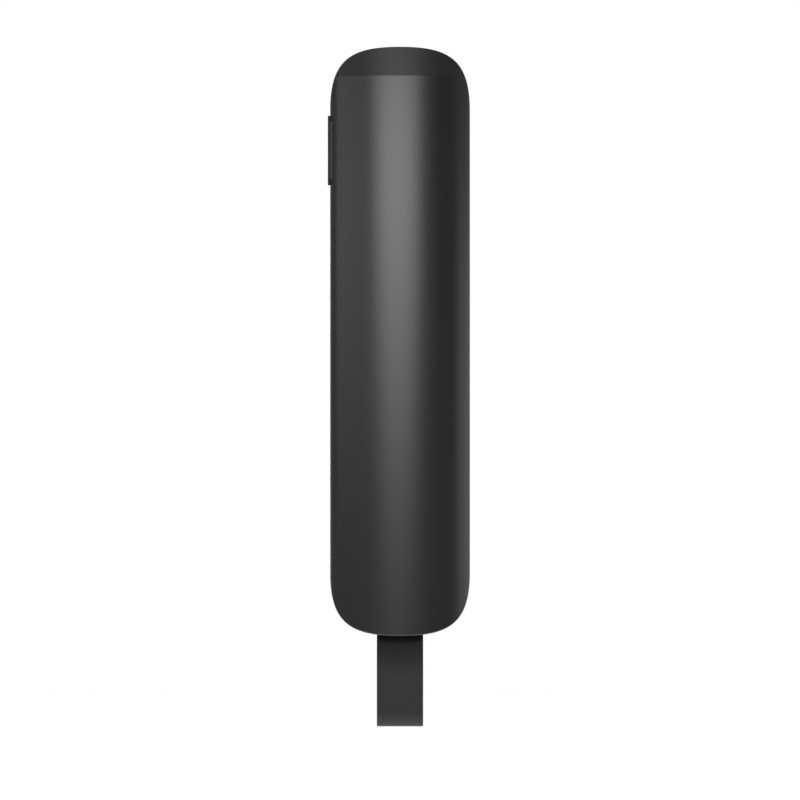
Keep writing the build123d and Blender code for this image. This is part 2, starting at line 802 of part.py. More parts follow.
with BuildPart() as next_button:
    add(press_button(next_width, next_length, next_height, next_dish_radius, next_dish_depth))

with BuildPart() as back_button:
    add(press_button(back_diameter, back_diameter, back_height, back_dish_radius, back_dish_depth))

# Tact switches: bases on the board, plungers that travel with the buttons
with BuildPart() as front_switches:
    with BuildSketch(Plane.back.offset(board_front)):
        for height in (pointer_height, next_height, back_height):
            with Locations((0, height)):
                Rectangle(switch_size, switch_size)
                Circle(plunger_diameter / 2 + plunger_gap, mode=Mode.SUBTRACT)
    extrude(amount=switch_height)

plunger_length = plunger_rise + switch_height - button_travel - plunger_gap


def front_plunger(height):
    """Plunger between a button's back and its switch."""
    with BuildPart() as plunger:
        with BuildSketch(Plane.back.offset(flange_back)):
            with Locations((0, height)):
                Circle(plunger_diameter / 2)
        extrude(amount=-plunger_length)
    return plunger.part


with BuildPart() as pointer_plunger:
    add(front_plunger(pointer_height))

with BuildPart() as next_plunger:
    add(front_plunger(next_height))

with BuildPart() as back_plunger:
    add(front_plunger(back_height))

# Side key, its plunger and its switch
key_crown = body_half_width + key_rise
with BuildPart() as side_key:
    with BuildSketch(Plane.left.offset(key_flange_face)):
        with Locations((0, key_height)):
            SlotOverall(key_length, key_thickness, rotation=90)
    extrude(amount=body_width)
    with BuildSketch():
        Ellipse(key_crown, body_half_thickness + key_rise)
    extrude(amount=body_length, mode=Mode.INTERSECT)
    fillet(side_key.faces().sort_by(Axis.X)[0].edges(), key_edge_round)
    add(
        key_flange(
            2 * key_lip_half, key_length + 2 * key_lip, inner_half_width - running_fit, inner_half_thickness
        )
    )

side_switch_outer = key_flange_face - side_switch_gap
with BuildPart() as side_switch:
    with BuildSketch(Plane.left.offset(side_switch_outer)):
        with Locations((side_switch_height / 2 - board_back, key_height)):
            Rectangle(side_switch_height, side_switch_length)
    extrude(amount=-side_switch_depth)
    with BuildSketch(Plane.left.offset(side_switch_outer)):
        with Locations((0, key_height)):
            Circle(side_plunger_diameter / 2 + plunger_gap)
    extrude(amount=-side_plunger_depth - button_travel - plunger_gap, mode=Mode.SUBTRACT)

with BuildPart() as side_plunger:
    with BuildSketch(Plane.left.offset(key_flange_face)):
        with Locations((0, key_height)):
            Circle(side_plunger_diameter / 2)
    extrude(amount=-side_switch_gap - side_plunger_depth)

# Receiver stowed in the mouth
with BuildPart() as receiver_tail:
    with BuildSketch():
        RectangleRounded(tail_width, tail_thickness, mouth_corner - tail_gap)
    extrude(amount=tail_length)
    extrude(front_outline(0), amount=body_thickness, both=True, mode=Mode.INTERSECT)
    with BuildSketch():
        Rectangle(strap_width + 2 * strap_side_gap, body_thickness)
    extrude(amount=strap_slot_top, mode=Mode.SUBTRACT)
    with BuildSketch(Plane.YZ):
        with Locations((0, pin_height)):
            Circle(pin_diameter / 2 + thread_fit)
    extrude(amount=body_width, both=True, mode=Mode.SUBTRACT)
    with BuildSketch(Plane.XY.offset(tail_length)):
        RectangleRounded(
            plug_width - 2 * (plug_sheet + running_fit),
            plug_thickness - 2 * (plug_sheet + running_fit),
            plug_corner - plug_sheet,
        )
    extrude(amount=neck_length)

with BuildPart() as receiver_plug_shell:
    with BuildSketch(Plane.XY.offset(tail_length)):
        RectangleRounded(plug_width, plug_thickness, plug_corner)
        RectangleRounded(
            plug_width - 2 * plug_sheet,
            plug_thickness - 2 * plug_sheet,
            plug_corner - plug_sheet,
            mode=Mode.SUBTRACT,
        )
    extrude(amount=plug_length)
    with BuildSketch(Plane.XZ):
        with Locations((0, plug_tip - plug_window_setback)):
            with GridLocations(plug_window_spacing, 1, 2, 1):
                Rectangle(plug_window, plug_window)
    extrude(amount=plug_thickness, both=True, mode=Mode.SUBTRACT)

carrier_bottom = tail_length + neck_length
carrier_length = plug_length - neck_length - carrier_setback
carrier_width = plug_width - 2 * plug_corner
carrier_back = plug_sheet - plug_thickness / 2
with BuildPart() as receiver_carrier:
    with BuildSketch(Plane.XY.offset(carrier_bottom)):
        with Locations((0, carrier_back + carrier_thickness / 2)):
            Rectangle(carrier_width, carrier_thickness)
    extrude(amount=carrier_length)

carrier_front = carrier_back + carrier_thickness
with BuildPart() as receiver_board:
    with BuildSketch(Plane.XY.offset(carrier_bottom)):
        with Locations((0, carrier_front + receiver_board_thickness / 2)):
            Rectangle(carrier_width, receiver_board_thickness)
    extrude(amount=carrier_length)

receiver_board_front = carrier_front + receiver_board_thickness
contact_top = carrier_bottom + carrier_length - contact_sheet
with BuildPart() as receiver_contacts:
    with BuildSketch(Plane.back.offset(receiver_board_front)):
        with Locations((0, contact_top - contact_length / 2)):
            with GridLocations(contact_spacing, 1, contact_count, 1):
                Rectangle(contact_width, contact_length)
    extrude(amount=contact_sheet)

with BuildPart() as receiver_chip:
    with BuildSketch(Plane.back.offset(receiver_board_front)):
        with Locations((0, contact_top - contact_length - receiver_chip_length / 2 - contact_sheet)):
            Rectangle(receiver_chip_width, receiver_chip_length)
    extrude(amount=receiver_chip_thickness)

# Strap loop and the pin that it swings on
with BuildPart() as strap_pin:
    with BuildSketch(Plane.YZ):
        with Locations((0, pin_height)):
            Circle(pin_diameter / 2)
    extrude(amount=tail_width / 2 - pin_end_gap, both=True)
    chamfer(strap_pin.edges(), edge_break)

# The loop's centreline is four tangent arcs: round the pin, down both sides and round the fold.
strap_low = strap_bottom_radius + strap_thickness / 2 - strap_drop
reach_high = strap_side_radius - strap_pin_radius
reach_low = strap_side_radius - strap_bottom_radius
side_height = (pin_height + strap_low) / 2 - (reach_high**2 - reach_low**2) / (2 * (pin_height - strap_low))
side_offset = sqrt(reach_high**2 - (pin_height - side_height) ** 2)
turn_high = degrees(atan2(pin_height - side_height, side_offset))
turn_low = degrees(atan2(strap_low - side_height, side_offset))


def strap_wire(shift):
    """Closed line round the loop, shifted outwards from its centreline."""
    half_turn = 180
    side_arc = strap_side_radius + shift
    CenterArc((0, pin_height), strap_pin_radius + shift, turn_high, half_turn - 2 * turn_high)
    CenterArc((side_offset, side_height), side_arc, half_turn - turn_high, turn_high - turn_low)
    CenterArc((0, strap_low), strap_bottom_radius + shift, half_turn - turn_low, half_turn + 2 * turn_low)
    CenterArc((-side_offset, side_height), side_arc, turn_low, turn_high - turn_low)


with BuildPart() as strap:
    with BuildSketch(Plane.YZ):
        with BuildLine():
            strap_wire(strap_thickness / 2)
        make_face()
        with BuildLine():
            strap_wire(-strap_thickness / 2)
        make_face(mode=Mode.SUBTRACT)
    extrude(amount=strap_width / 2, both=True)
    rims = strap.edges().filter_by_position(Axis.X, strap_width / 2, strap_width / 2)
    rims += strap.edges().filter_by_position(Axis.X, -strap_width / 2, -strap_width / 2)
    fillet(rims, strap_edge_round)

pieces = {
    "housing_tube": housing_tube,
    "antenna_cap": antenna_cap,
    "cap_gasket": cap_gasket,
    "laser_window": laser_window,
    "laser_barrel": laser_barrel,
    "laser_board": laser_board,
    "laser_pins": laser_pins,
    "chassis": chassis,
    "cap_screws": cap_screws,
    "base_cover": base_cover,
    "dock_frame": dock_frame,
    "dock_screws": dock_screws,
    "dock_springs": dock_springs,
    "main_board": main_board,
    "board_screws": board_screws,
    "antenna_trace": antenna_trace,
    "shield_can": shield_can,
    "controller_chip": controller_chip,
    "crystal": crystal,
    "board_components": board_components,
    "status_led": status_led,
    "led_window": led_window,
    "usb_c_shell": usb_c_shell,
    "usb_c_tongue": usb_c_tongue,
    "battery_pad": battery_pad,
    "battery_cell": battery_cell,
    "battery_tabs": battery_tabs,
    "motor_cradle": motor_cradle,
    "motor_can": motor_can,
    "motor_weight": motor_weight,
    "pointer_button": pointer_button,
    "next_button": next_button,
    "back_button": back_button,
    "front_switches": front_switches,
    "pointer_plunger": pointer_plunger,
    "next_plunger": next_plunger,
    "back_plunger": back_plunger,
    "side_key": side_key,
    "side_switch": side_switch,
    "side_plunger": side_plunger,
    "receiver_tail": receiver_tail,
    "receiver_plug_shell": receiver_plug_shell,
    "receiver_carrier": receiver_carrier,
    "receiver_board": receiver_board,
    "receiver_contacts": receiver_contacts,
    "receiver_chip": receiver_chip,
    "strap_pin": strap_pin,
    "strap": strap,
}
for name, piece in pieces.items():
    piece.part.label = name
    export_step(piece.part, f"parts/{name}.step")
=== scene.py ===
"""Wireless presentation clicker with its stowed receiver and strap loop, dressed for the studio.

Metres. +Z runs from the stowed receiver up to the pointing end, +Y is the side with the buttons,
and the side key is on -X.
"""

from math import acos, asin, atan2, cos, pi, radians, sin, sqrt

import bpy
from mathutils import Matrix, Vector
from mathutils.geometry import delaunay_2d_cdt
from mathutils.kdtree import KDTree


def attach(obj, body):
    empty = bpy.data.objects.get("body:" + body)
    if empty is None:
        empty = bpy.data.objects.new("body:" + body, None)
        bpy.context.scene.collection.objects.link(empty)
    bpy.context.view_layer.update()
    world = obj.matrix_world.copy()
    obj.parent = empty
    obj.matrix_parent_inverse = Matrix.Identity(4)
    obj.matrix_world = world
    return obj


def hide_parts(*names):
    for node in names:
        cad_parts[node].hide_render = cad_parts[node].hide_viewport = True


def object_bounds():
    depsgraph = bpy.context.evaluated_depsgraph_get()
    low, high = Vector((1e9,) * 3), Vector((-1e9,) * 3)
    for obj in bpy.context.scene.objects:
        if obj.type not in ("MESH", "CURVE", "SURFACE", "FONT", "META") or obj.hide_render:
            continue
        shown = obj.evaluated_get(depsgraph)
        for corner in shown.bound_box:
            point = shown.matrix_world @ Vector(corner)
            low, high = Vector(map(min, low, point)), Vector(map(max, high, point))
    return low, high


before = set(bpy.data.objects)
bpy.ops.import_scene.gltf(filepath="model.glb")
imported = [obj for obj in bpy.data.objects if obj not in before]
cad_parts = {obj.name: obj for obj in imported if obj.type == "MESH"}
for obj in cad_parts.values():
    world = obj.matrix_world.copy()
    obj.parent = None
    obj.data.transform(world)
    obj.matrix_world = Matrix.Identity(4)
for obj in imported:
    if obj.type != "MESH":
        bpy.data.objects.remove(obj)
cad_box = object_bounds()


# ---------------------------------------------------------------------------------------------
# Housing tube: extruded aluminium of oval section, its ends milled round and its openings cut for
# the buttons. It is blasted with fine beads, dyed dark grey and sealed by anodising, and the sled
# slides into it from the bottom end.


class Tone:
    """A value that varies over a surface. Arithmetic on it adds Math nodes."""

    def __init__(self, nodes, socket):
        self.nodes = nodes
        self.socket = socket

    def worked(self, operation, *values):
        return self.nodes.add("ShaderNodeMath", {"operation": operation}, dict(enumerate(values)))

    def __add__(self, other):
        return self.worked("ADD", self, other)

    def __sub__(self, other):
        return self.worked("SUBTRACT", self, other)

    def __rsub__(self, other):
        return self.worked("SUBTRACT", other, self)

    def __mul__(self, other):
        return self.worked("MULTIPLY", self, other)

    def step(self, low, high):
        """Smooth mask: 0 below low, 1 above high."""
        return self.nodes.add(
            "ShaderNodeMapRange", {"interpolation_type": "SMOOTHSTEP"}, {0: self, 1: low, 2: high}
        )

    __radd__ = __add__
    __rmul__ = __mul__


class Nodes:
    """A tree of shader nodes."""

    def __init__(self, tree):
        self.tree = tree

    def add(self, kind, settings, sockets, out=0):
        """New node: its settings first, then the values or links of its sockets."""
        node = self.tree.nodes.new(kind)
        for setting, value in settings.items():
            setattr(node, setting, value)
        for socket, value in sockets.items():
            if isinstance(value, Tone):
                self.tree.links.new(value.socket, node.inputs[socket])
            else:
                node.inputs[socket].default_value = value
        return Tone(self, node.outputs[out])


class Finish(Nodes):
    """The surface of one material: a Principled shader and the nodes that vary it.

    Its plain values are the sockets that are the same all over the surface."""

    def __init__(self, name, plain):
        self.material = bpy.data.materials.new(name)
        self.material.use_nodes = True
        super().__init__(self.material.node_tree)
        self.shader = self.tree.nodes["Principled BSDF"]
        for socket, value in plain.items():
            self.shader.inputs[socket].default_value = value

    def feed(self, socket, tone):
        self.tree.links.new(tone.socket, self.shader.inputs[socket])

    def place(self, stretch=(1, 1, 1)):
        """Where a point is on the piece, in metres, stretched along the axes."""
        position = self.add("ShaderNodeTexCoord", {}, {}, "Object")
        sockets = {0: position, 1: stretch}
        return self.add("ShaderNodeVectorMath", {"operation": "MULTIPLY"}, sockets)

    def grain(self, size, stretch=(1, 1, 1), detail=2.0):
        """Cloudy noise from 0 to 1 whose features are about so large."""
        sockets = {"Vector": self.place(stretch), "Scale": 1 / size, "Detail": detail}
        return self.add("ShaderNodeTexNoise", {}, sockets)

    def mix(self, mask, low, high):
        """Colour that goes from low to high with a mask."""
        factor, colour_low, colour_high, colour_out = 0, 6, 7, 2
        sockets = {factor: mask, colour_low: low, colour_high: high}
        return self.add("ShaderNodeMix", {"data_type": "RGBA"}, sockets, colour_out)

    def tint(self, mask, low, high):
        """Base colour that goes from low to high with a mask."""
        self.feed("Base Color", self.mix(mask, low, high))

    def relief(self, height, depth):
        """Fine surface height, from 0 to depth."""
        self.feed("Normal", self.add("ShaderNodeBump", {}, {"Height": height, "Distance": depth}))


def grey(level):
    """Neutral colour."""
    return (level, level, level, 1)


def dress(finish, *names):
    """Gives a finish to solids that keep their own shape."""
    for name in names:
        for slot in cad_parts[name].material_slots:
            slot.material = finish.material


def anodised(name, level, roughness):
    """Bead-blasted, dyed and sealed aluminium."""
    finish = Finish(name, {"Metallic": 1.0, "Specular Tint": grey(0.75)})
    clouds = finish.grain(size=0.009, stretch=(1, 1, 0.35), detail=3.0)
    beads = finish.grain(size=0.00013, detail=3.0)
    finish.tint(clouds, grey(level * 0.96), grey(level * 1.04))
    finish.feed("Roughness", roughness - 0.02 + 0.03 * beads + 0.01 * clouds)
    finish.relief(beads, depth=0.0000015)
    return finish


def stand(name, data):
    """New object in the scene, from its mesh, lamp or camera."""
    made = bpy.data.objects.new(name, data)
    bpy.context.scene.collection.objects.link(made)
    return made


# Corners closer than a tenth of a micrometre are one: so many of those steps make a metre.
WELD = 1e7


class Skin:
    """Faces of one piece, welded where they meet, each corner with its own normal."""

    def __init__(self):
        self.points = {}
        self.faces = []
        self.finish_numbers = []
        self.normals = []

    def face(self, *corners, finish=0):
        """One face from (point, normal) corners. Corners that fall together become one."""
        ids, normals = [], []
        for point, normal in corners:
            key = tuple(round(value * WELD) for value in point)
            number = self.points.setdefault(key, len(self.points))
            if number not in ids:
                ids.append(number)
                normals.append(normal)
        if len(ids) > 2:
            self.faces.append(ids)
            self.finish_numbers.append(finish)
            self.normals.extend(normals)

    def strip(self, first, second):
        """Closed band of faces between two rings of corners."""
        for i in range(len(first)):
            self.face(first[i - 1], first[i], second[i], second[i - 1])

    def piece(self, name, body, slot, *finishes):
        """The finished piece, riding on its body."""
        mesh = bpy.data.meshes.new(name)
        points = [Vector(key) / WELD for key in self.points]
        mesh.from_pydata(points, [], self.faces)
        mesh.shade_smooth()
        mesh.normals_split_custom_set(self.normals)
        for finish in finishes:
            mesh.materials.append(finish.material)
        mesh.polygons.foreach_set("material_index", self.finish_numbers)
        made = stand(name, mesh)
        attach(made, body)
        return made


EDGE_STEPS = 4


def rounded(corner, first, second, radius):
    """Points and normals of a rounded edge, from the face with the first normal to the other."""
    centre = corner - (first + second) * (radius / (1 + first.dot(second)))
    turns = [step / EDGE_STEPS for step in range(EDGE_STEPS + 1)]
    normals = [first.lerp(second, turn).normalized() for turn in turns]
    return [(centre + normal * radius, normal) for normal in normals]


HALVINGS = 40


def halve(low, high, falls_short):
    """The value between low and high at which falls_short stops being true."""
    for _ in range(HALVINGS):
        middle = (low + high) / 2
        low, high = (middle, high) if falls_short(middle) else (low, middle)
    return middle


# Half of the width and of the depth, outside and in the bore.
BODY_HALF = Vector((0.01375, 0.00605))
BORE_HALF = Vector((0.01175, 0.00505))
BODY_LENGTH = 0.1155
SEAM = 0.1099
# Poles of the round end's curve, across and up, from its middle to the tube's straight side.
END_CURVE = ((0.0, 0.0), (0.00963, 0.0), (0.01375, 0.0023), (0.01375, 0.0125))


def shares(part):
    """How much each pole counts at a part of the way along the end curve."""
    rest = 1 - part
    return rest**3, 3 * rest**2 * part, 3 * rest * part**2, part**3


def weigh(weights, axis):
    """Sum of the poles along an axis, each times its weight."""
    return sum(weight * pole[axis] for weight, pole in zip(weights, END_CURVE))


def end_curve(across):
    """Height of the round end at a distance from the middle, and its outward normal there."""
    part = halve(0.0, 1.0, lambda part: weigh(shares(part), 0) < abs(across))
    rest = 1 - part
    slopes = (
        -3 * rest**2,
        3 * rest**2 - 6 * rest * part,
        6 * rest * part - 3 * part**2,
        3 * part**2,
    )
    run, rise = weigh(slopes, 0), weigh(slopes, 1)
    normal = Vector((rise if across > 0 else -rise, 0, -run)).normalized()
    return weigh(shares(part), 1), normal


def on_oval(half, angle, height):
    """Corner on an oval wall: its point and its outward normal. Angle 0 is the working side."""
    point = Vector((half.x * sin(angle), half.y * cos(angle), height))
    return point, Vector((sin(angle) / half.x, cos(angle) / half.y, 0)).normalized()


def oval_angle(half, point):
    return atan2(point.x / half.x, point.y / half.y)


OPENING_STEPS = 72


def opening_edge(width, length, in_side_wall):
    """Round or oblong opening: points off its middle and the normals of its wall."""
    edge = []
    for step in range(OPENING_STEPS):
        turn = 2 * pi * (step + 0.5) / OPENING_STEPS
        across, up = cos(turn), sin(turn)
        shift = (length - width) / 2 if up > 0 else (width - length) / 2
        flat, tall = across * width / 2, up * width / 2 + shift
        if in_side_wall:
            edge.append((Vector((0, flat, tall)), Vector((0, -across, -up))))
        else:
            edge.append((Vector((flat, 0, tall)), Vector((-across, 0, -up))))
    return edge


# The wall is laid flat in about millimetres: so many to a radian times a metre of half width,
# and to a metre of height.
FLAT_TURN = 700
FLAT_HEIGHT = 1000
# Points inside the wall, round and up it, keep a gap from its edges. All in the flat's measure.
WALL_TURNS, WALL_ROWS = 120, 48
WALL_GAP = 0.35
SAME_SPOT = 1e-7
WHOLE_FLAT = 0


def pierced_wall(skin, half, foot, head, openings, inward=False):
    """Oval wall between its foot and its head, without its openings.

    Each is a list of (angle, height)."""
    spots, loops = [], []
    for loop in [foot + head[::-1]] + openings:
        loops.append(list(range(len(spots), len(spots) + len(loop))))
        spots += loop
    arc = half.x * FLAT_TURN
    rings = KDTree(len(spots))
    for number, (angle, height) in enumerate(spots):
        rings.insert((angle * arc, height * FLAT_HEIGHT, 0), number)
    rings.balance()
    for row in range(1, WALL_ROWS):
        for turn in range(1, WALL_TURNS):
            angle, height = (2 * turn / WALL_TURNS - 1) * pi, SEAM * row / WALL_ROWS
            _, _, gap = rings.find((angle * arc, height * FLAT_HEIGHT, 0))
            if gap > WALL_GAP:
                spots.append((angle, height))
    flat = [Vector((angle * arc, height * FLAT_HEIGHT)) for angle, height in spots]
    cut = delaunay_2d_cdt(flat, [], loops, WHOLE_FLAT, SAME_SPOT)
    _, _, triangles, origins, _, loops_round = cut
    for triangle, around in zip(triangles, loops_round):
        # A triangle in an opening lies within that opening's loop as well as the wall's own.
        if around == [0]:
            corners = [on_oval(half, *spots[origins[i][0]]) for i in triangle]
            if inward:
                corners = [(point, -normal) for point, normal in corners]
            else:
                corners.reverse()
            skin.face(*corners)


UP = Vector((0, 0, 1))
# The columns half a turn either way keep their angle, so that the wall closes.
LAST_COLUMN = pi - 0.001
END_STEPS = 6


def level_head(across):
    return SEAM, UP


def round_head(across):
    height, normal = end_curve(across)
    return min(SEAM, BODY_LENGTH - height), Vector((normal.x, 0, -normal.z))


def end_face(angle, height_at, edge_radius, crease=None):
    """Across the tube's end: its outer edge rounded, then in to the bore, level inside a crease.

    Gives the angle at which the edge leaves the outer wall, and the corners."""
    outer, wall_normal = on_oval(BODY_HALF, angle, 0)
    outer.z, end_normal = height_at(outer.x)
    corners = rounded(outer, wall_normal, end_normal, edge_radius)
    start = angle if abs(angle) > LAST_COLUMN else oval_angle(BODY_HALF, corners[0][0])
    corners[0] = on_oval(BODY_HALF, start, corners[0][0].z)
    first = corners[-1][0]
    inner, _ = on_oval(BORE_HALF, angle, 0)
    share = 1.0
    if crease:
        share = max(0.0, (abs(first.x) - crease) / (abs(first.x) - abs(inner.x)))
    for step in range(1, END_STEPS + 1):
        spot = first.lerp(inner, share * (step / END_STEPS) ** 2)
        spot.z, normal = height_at(spot.x)
        corners.append((spot, normal))
    inner.z, normal = level_head(inner.x) if crease else height_at(inner.x)
    return start, corners + [(spot, normal), (inner, normal)]


# Columns round the tube keep an angle from the seam's corners, which have their own.
COLUMNS = 240
CORNER_GAP = 0.012
# Rounds of the edges at the foot, at the cut sides of the head and along the level seam.
FOOT_EDGE = 0.0002
HEAD_EDGE = 0.00008
SEAM_EDGE = 0.00003
OPENINGS = (
    # width, length, height of its middle, round of its edge, in the side wall
    (0.0113, 0.0113, 0.0980, 0.00015, False),
    (0.0123, 0.0183, 0.0800, 0.00015, False),
    (0.0093, 0.0093, 0.0640, 0.00015, False),
    (0.00164, 0.00164, 0.0540, 0.00008, False),
    (0.0031, 0.0140, 0.0953, 0.00006, True),
)
columns = [2 * pi * i / COLUMNS - pi for i in range(COLUMNS + 1)]
# Where the round end meets the level seam, on both sides and on both faces of the tube.
seam_corner = halve(0.0, BODY_HALF.x, lambda across: end_curve(across)[0] < BODY_LENGTH - SEAM)
corner_turn = asin(seam_corner / BODY_HALF.x)
corner_turns = [side * turn for side in (-1, 1) for turn in (corner_turn, pi - corner_turn)]
head_columns = [
    (angle, abs(sin(angle)) > sin(corner_turn))
    for angle in columns
    if all(abs(angle - turn) > CORNER_GAP for turn in corner_turns)
]
head_columns += [(turn, cut) for turn in corner_turns for cut in (False, True)]
# Two columns share each corner's angle, and a slight nudge sorts the cut one to the cut's side.
NUDGE = 1e-6
head_columns.sort(key=lambda column: column[0] + NUDGE * column[1] * sin(2 * column[0]))

housing_finish = anodised("anodised_aluminium", 0.027, 0.32)
cut_finish = anodised("anodised_cut_edge", 0.080, 0.34)
housing = Skin()
foot, bore_foot, rim = [], [], []
for angle in columns:
    start, corners = end_face(angle, end_curve, FOOT_EDGE)
    foot.append((start, corners[0][0].z))
    bore_foot.append((angle, corners[-1][0].z))
    rim.append(corners)
for before, after in zip(rim, rim[1:]):
    for i in range(len(before) - 1):
        # The foot's rounded edge is cut bright, and takes the second finish.
        finish = 1 if i < EDGE_STEPS else 0
        housing.face(before[i + 1], before[i], after[i], after[i + 1], finish=finish)
head, bore_head, rim = [], [], []
for angle, cut in head_columns:
    if cut:
        start, corners = end_face(angle, round_head, HEAD_EDGE, seam_corner)
    else:
        start, corners = end_face(angle, level_head, SEAM_EDGE)
    if angle in corner_turns:
        start = angle
        corners[0] = on_oval(BODY_HALF, start, SEAM - SEAM_EDGE)
    head.append((start, corners[0][0].z))
    bore_head.append((angle, SEAM))
    rim.append(corners)
for before, after in zip(rim, rim[1:]):
    for i in range(len(before) - 1):
        housing.face(before[i], before[i + 1], after[i + 1], after[i])
outer_loops, bore_loops = [], []
for width, length, height, edge_radius, in_side_wall in OPENINGS:
    outer_loop, bore_loop, walls = [], [], []
    for shift, wall in opening_edge(width, length, in_side_wall):
        body_turn, bore_turn = (
            -acos(shift.y / half.y) if in_side_wall else asin(shift.x / half.x)
            for half in (BODY_HALF, BORE_HALF)
        )
        outer, normal = on_oval(BODY_HALF, body_turn, height + shift.z)
        inner, _ = on_oval(BORE_HALF, bore_turn, height + shift.z)
        edge = rounded(outer, normal, wall, edge_radius)
        start = oval_angle(BODY_HALF, edge[0][0])
        edge[0] = on_oval(BODY_HALF, start, edge[0][0].z)
        outer_loop.append((start, edge[0][0].z))
        bore_loop.append((bore_turn, height + shift.z))
        walls.append(edge + [(inner, wall)])
    outer_loops.append(outer_loop)
    bore_loops.append(bore_loop)
    for i in range(len(walls)):
        for j in range(len(walls[i]) - 1):
            housing.face(walls[i][j], walls[i - 1][j], walls[i - 1][j + 1], walls[i][j + 1])
pierced_wall(housing, BODY_HALF, foot, head, outer_loops)
pierced_wall(housing, BORE_HALF, bore_foot, bore_head, bore_loops, inward=True)
housing_shell = housing.piece(
    "housing_shell", "handset", "anodised_aluminium", housing_finish, cut_finish
)
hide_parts("housing_tube")


# ---------------------------------------------------------------------------------------------
# Sled: one glass-filled moulding that carries everything inside and slides into the tube. Its
# skin is the dull, faintly streaked black of a filled plastic.


def moulded(name, level, roughness, texture=0.00022, depth=0.000004, gloss=0.5):
    """Moulded plastic with the fine pitted texture of an eroded tool."""
    finish = Finish(name, {"Specular IOR Level": gloss})
    pits = finish.grain(texture, detail=3.0)
    flow = finish.grain(size=0.006, stretch=(1, 1, 0.3), detail=2.0)
    finish.tint(flow, grey(level * 0.92), grey(level * 1.08))
    finish.feed("Roughness", roughness - 0.03 + 0.05 * pits + 0.02 * flow)
    finish.relief(pits, depth)
    return finish


def streaked(name, level, roughness):
    """Filled plastic whose glass fibres show as pale streaks along the flow."""
    finish = Finish(name, {"Specular IOR Level": 0.4})
    fibres = finish.grain(size=0.0006, stretch=(1, 1, 0.08), detail=4.0).step(0.55, 0.75)
    pits = finish.grain(size=0.0002, detail=3.0)
    finish.tint(fibres, grey(level), grey(level * 1.7))
    finish.feed("Roughness", roughness + 0.08 * pits)
    finish.relief(pits + 0.4 * fibres, depth=0.000006)
    return finish


frame_finish = streaked("frame_plastic", 0.02, 0.5)
dress(frame_finish, "chassis")


# ---------------------------------------------------------------------------------------------
# Main board: green solder mask over copper, with its aerial track in bare gold, and the parts
# soldered on it: shield can, controller, crystal, small parts, light and switches.


def soldered_board(name, mask_dark, mask_light):
    """Board whose tracks show as paler lines under the solder mask."""
    finish = Finish(name, {})
    cells = finish.add(
        "ShaderNodeTexVoronoi",
        {"feature": "DISTANCE_TO_EDGE", "distance": "MANHATTAN"},
        {"Vector": finish.place((1, 0.01, 0.6)), "Scale": 900.0},
    )
    tracks = 1 - cells.step(0.06, 0.1)
    weave = finish.grain(size=0.0005, detail=2.0)
    finish.tint(tracks, mask_dark, mask_light)
    finish.feed("Roughness", 0.28 + 0.1 * weave)
    finish.relief(tracks + 0.2 * weave, depth=0.00002)
    return finish


# What tarnish leaves of a metal's brightness.
TARNISHED = 0.85


def metal(name, colour, roughness, size=0.0004, stretch=(1, 1, 1)):
    """Bare or plated metal with fine working marks and a little tarnish."""
    finish = Finish(name, {"Metallic": 1.0})
    marks = finish.grain(size, stretch, detail=4.0)
    tarnish = finish.grain(size=0.003, detail=3.0)
    dull = tuple(value * TARNISHED for value in colour[:3]) + (1,)
    finish.tint(tarnish, dull, colour)
    finish.feed("Roughness", roughness - 0.05 + 0.1 * marks + 0.05 * tarnish)
    finish.relief(marks, depth=0.000002)
    return finish


board_finish = soldered_board("board_green", (0.008, 0.06, 0.025, 1), (0.02, 0.13, 0.05, 1))
gold_finish = metal("solder_gold", (0.83, 0.60, 0.27, 1), 0.28)
tin_finish = metal("shield_tin", (0.62, 0.62, 0.60, 1), 0.32, size=0.0003, stretch=(1, 1, 0.15))
switch_finish = metal("switch_metal", (0.55, 0.55, 0.54, 1), 0.3)
chip_finish = moulded("chip_black", 0.018, 0.5, texture=0.00012, depth=0.000003)
dress(board_finish, "main_board")
dress(gold_finish, "antenna_trace", "receiver_contacts", "laser_pins")
dress(tin_finish, "shield_can", "crystal")
dress(chip_finish, "controller_chip", "receiver_chip", "board_components", "status_led")
dress(switch_finish, "front_switches", "side_switch")


# ---------------------------------------------------------------------------------------------
# Charging port: drawn steel shell with a black tongue, standing on the board's lower end behind
# the receiver's garage.

plug_finish = metal("plug_steel", (0.60, 0.59, 0.57, 1), 0.22, size=0.0005, stretch=(1, 1, 0.1))
connector_finish = moulded("connector_black", 0.015, 0.45)
dress(plug_finish, "usb_c_shell", "receiver_plug_shell")
dress(connector_finish, "usb_c_tongue", "receiver_carrier")


# ---------------------------------------------------------------------------------------------
# Battery: lithium pouch cell in dull aluminium foil on a foam pad, its two tabs folded to the
# board.


def foil(name):
    """Pouch foil, creased where it is drawn over the cell."""
    finish = Finish(name, {"Metallic": 0.9})
    creases = finish.grain(size=0.0025, stretch=(1, 1, 0.4), detail=5.0)
    matt = finish.grain(size=0.0002, detail=2.0)
    finish.tint(creases, grey(0.42), grey(0.58))
    finish.feed("Roughness", 0.3 + 0.12 * matt)
    finish.relief(creases + 0.05 * matt, depth=0.00005)
    return finish


def porous(name, level, size, depth):
    """Open-celled foam or a rubber with a fine bloom."""
    finish = Finish(name, {"Roughness": 0.9, "Specular IOR Level": 0.25})
    cells = finish.add("ShaderNodeTexVoronoi", {}, {"Vector": finish.place(), "Scale": 1 / size})
    bloom = finish.grain(size=0.002, detail=3.0)
    finish.tint(bloom, grey(level * 0.85), grey(level * 1.2))
    finish.relief(cells, depth)
    return finish


battery_finish = foil("battery_foil")
foam_finish = porous("foam_pad", 0.05, size=0.0003, depth=0.00005)
dress(battery_finish, "battery_cell")
dress(foam_finish, "battery_pad")
dress(metal("battery_tab_nickel", (0.58, 0.55, 0.50, 1), 0.3), "battery_tabs")


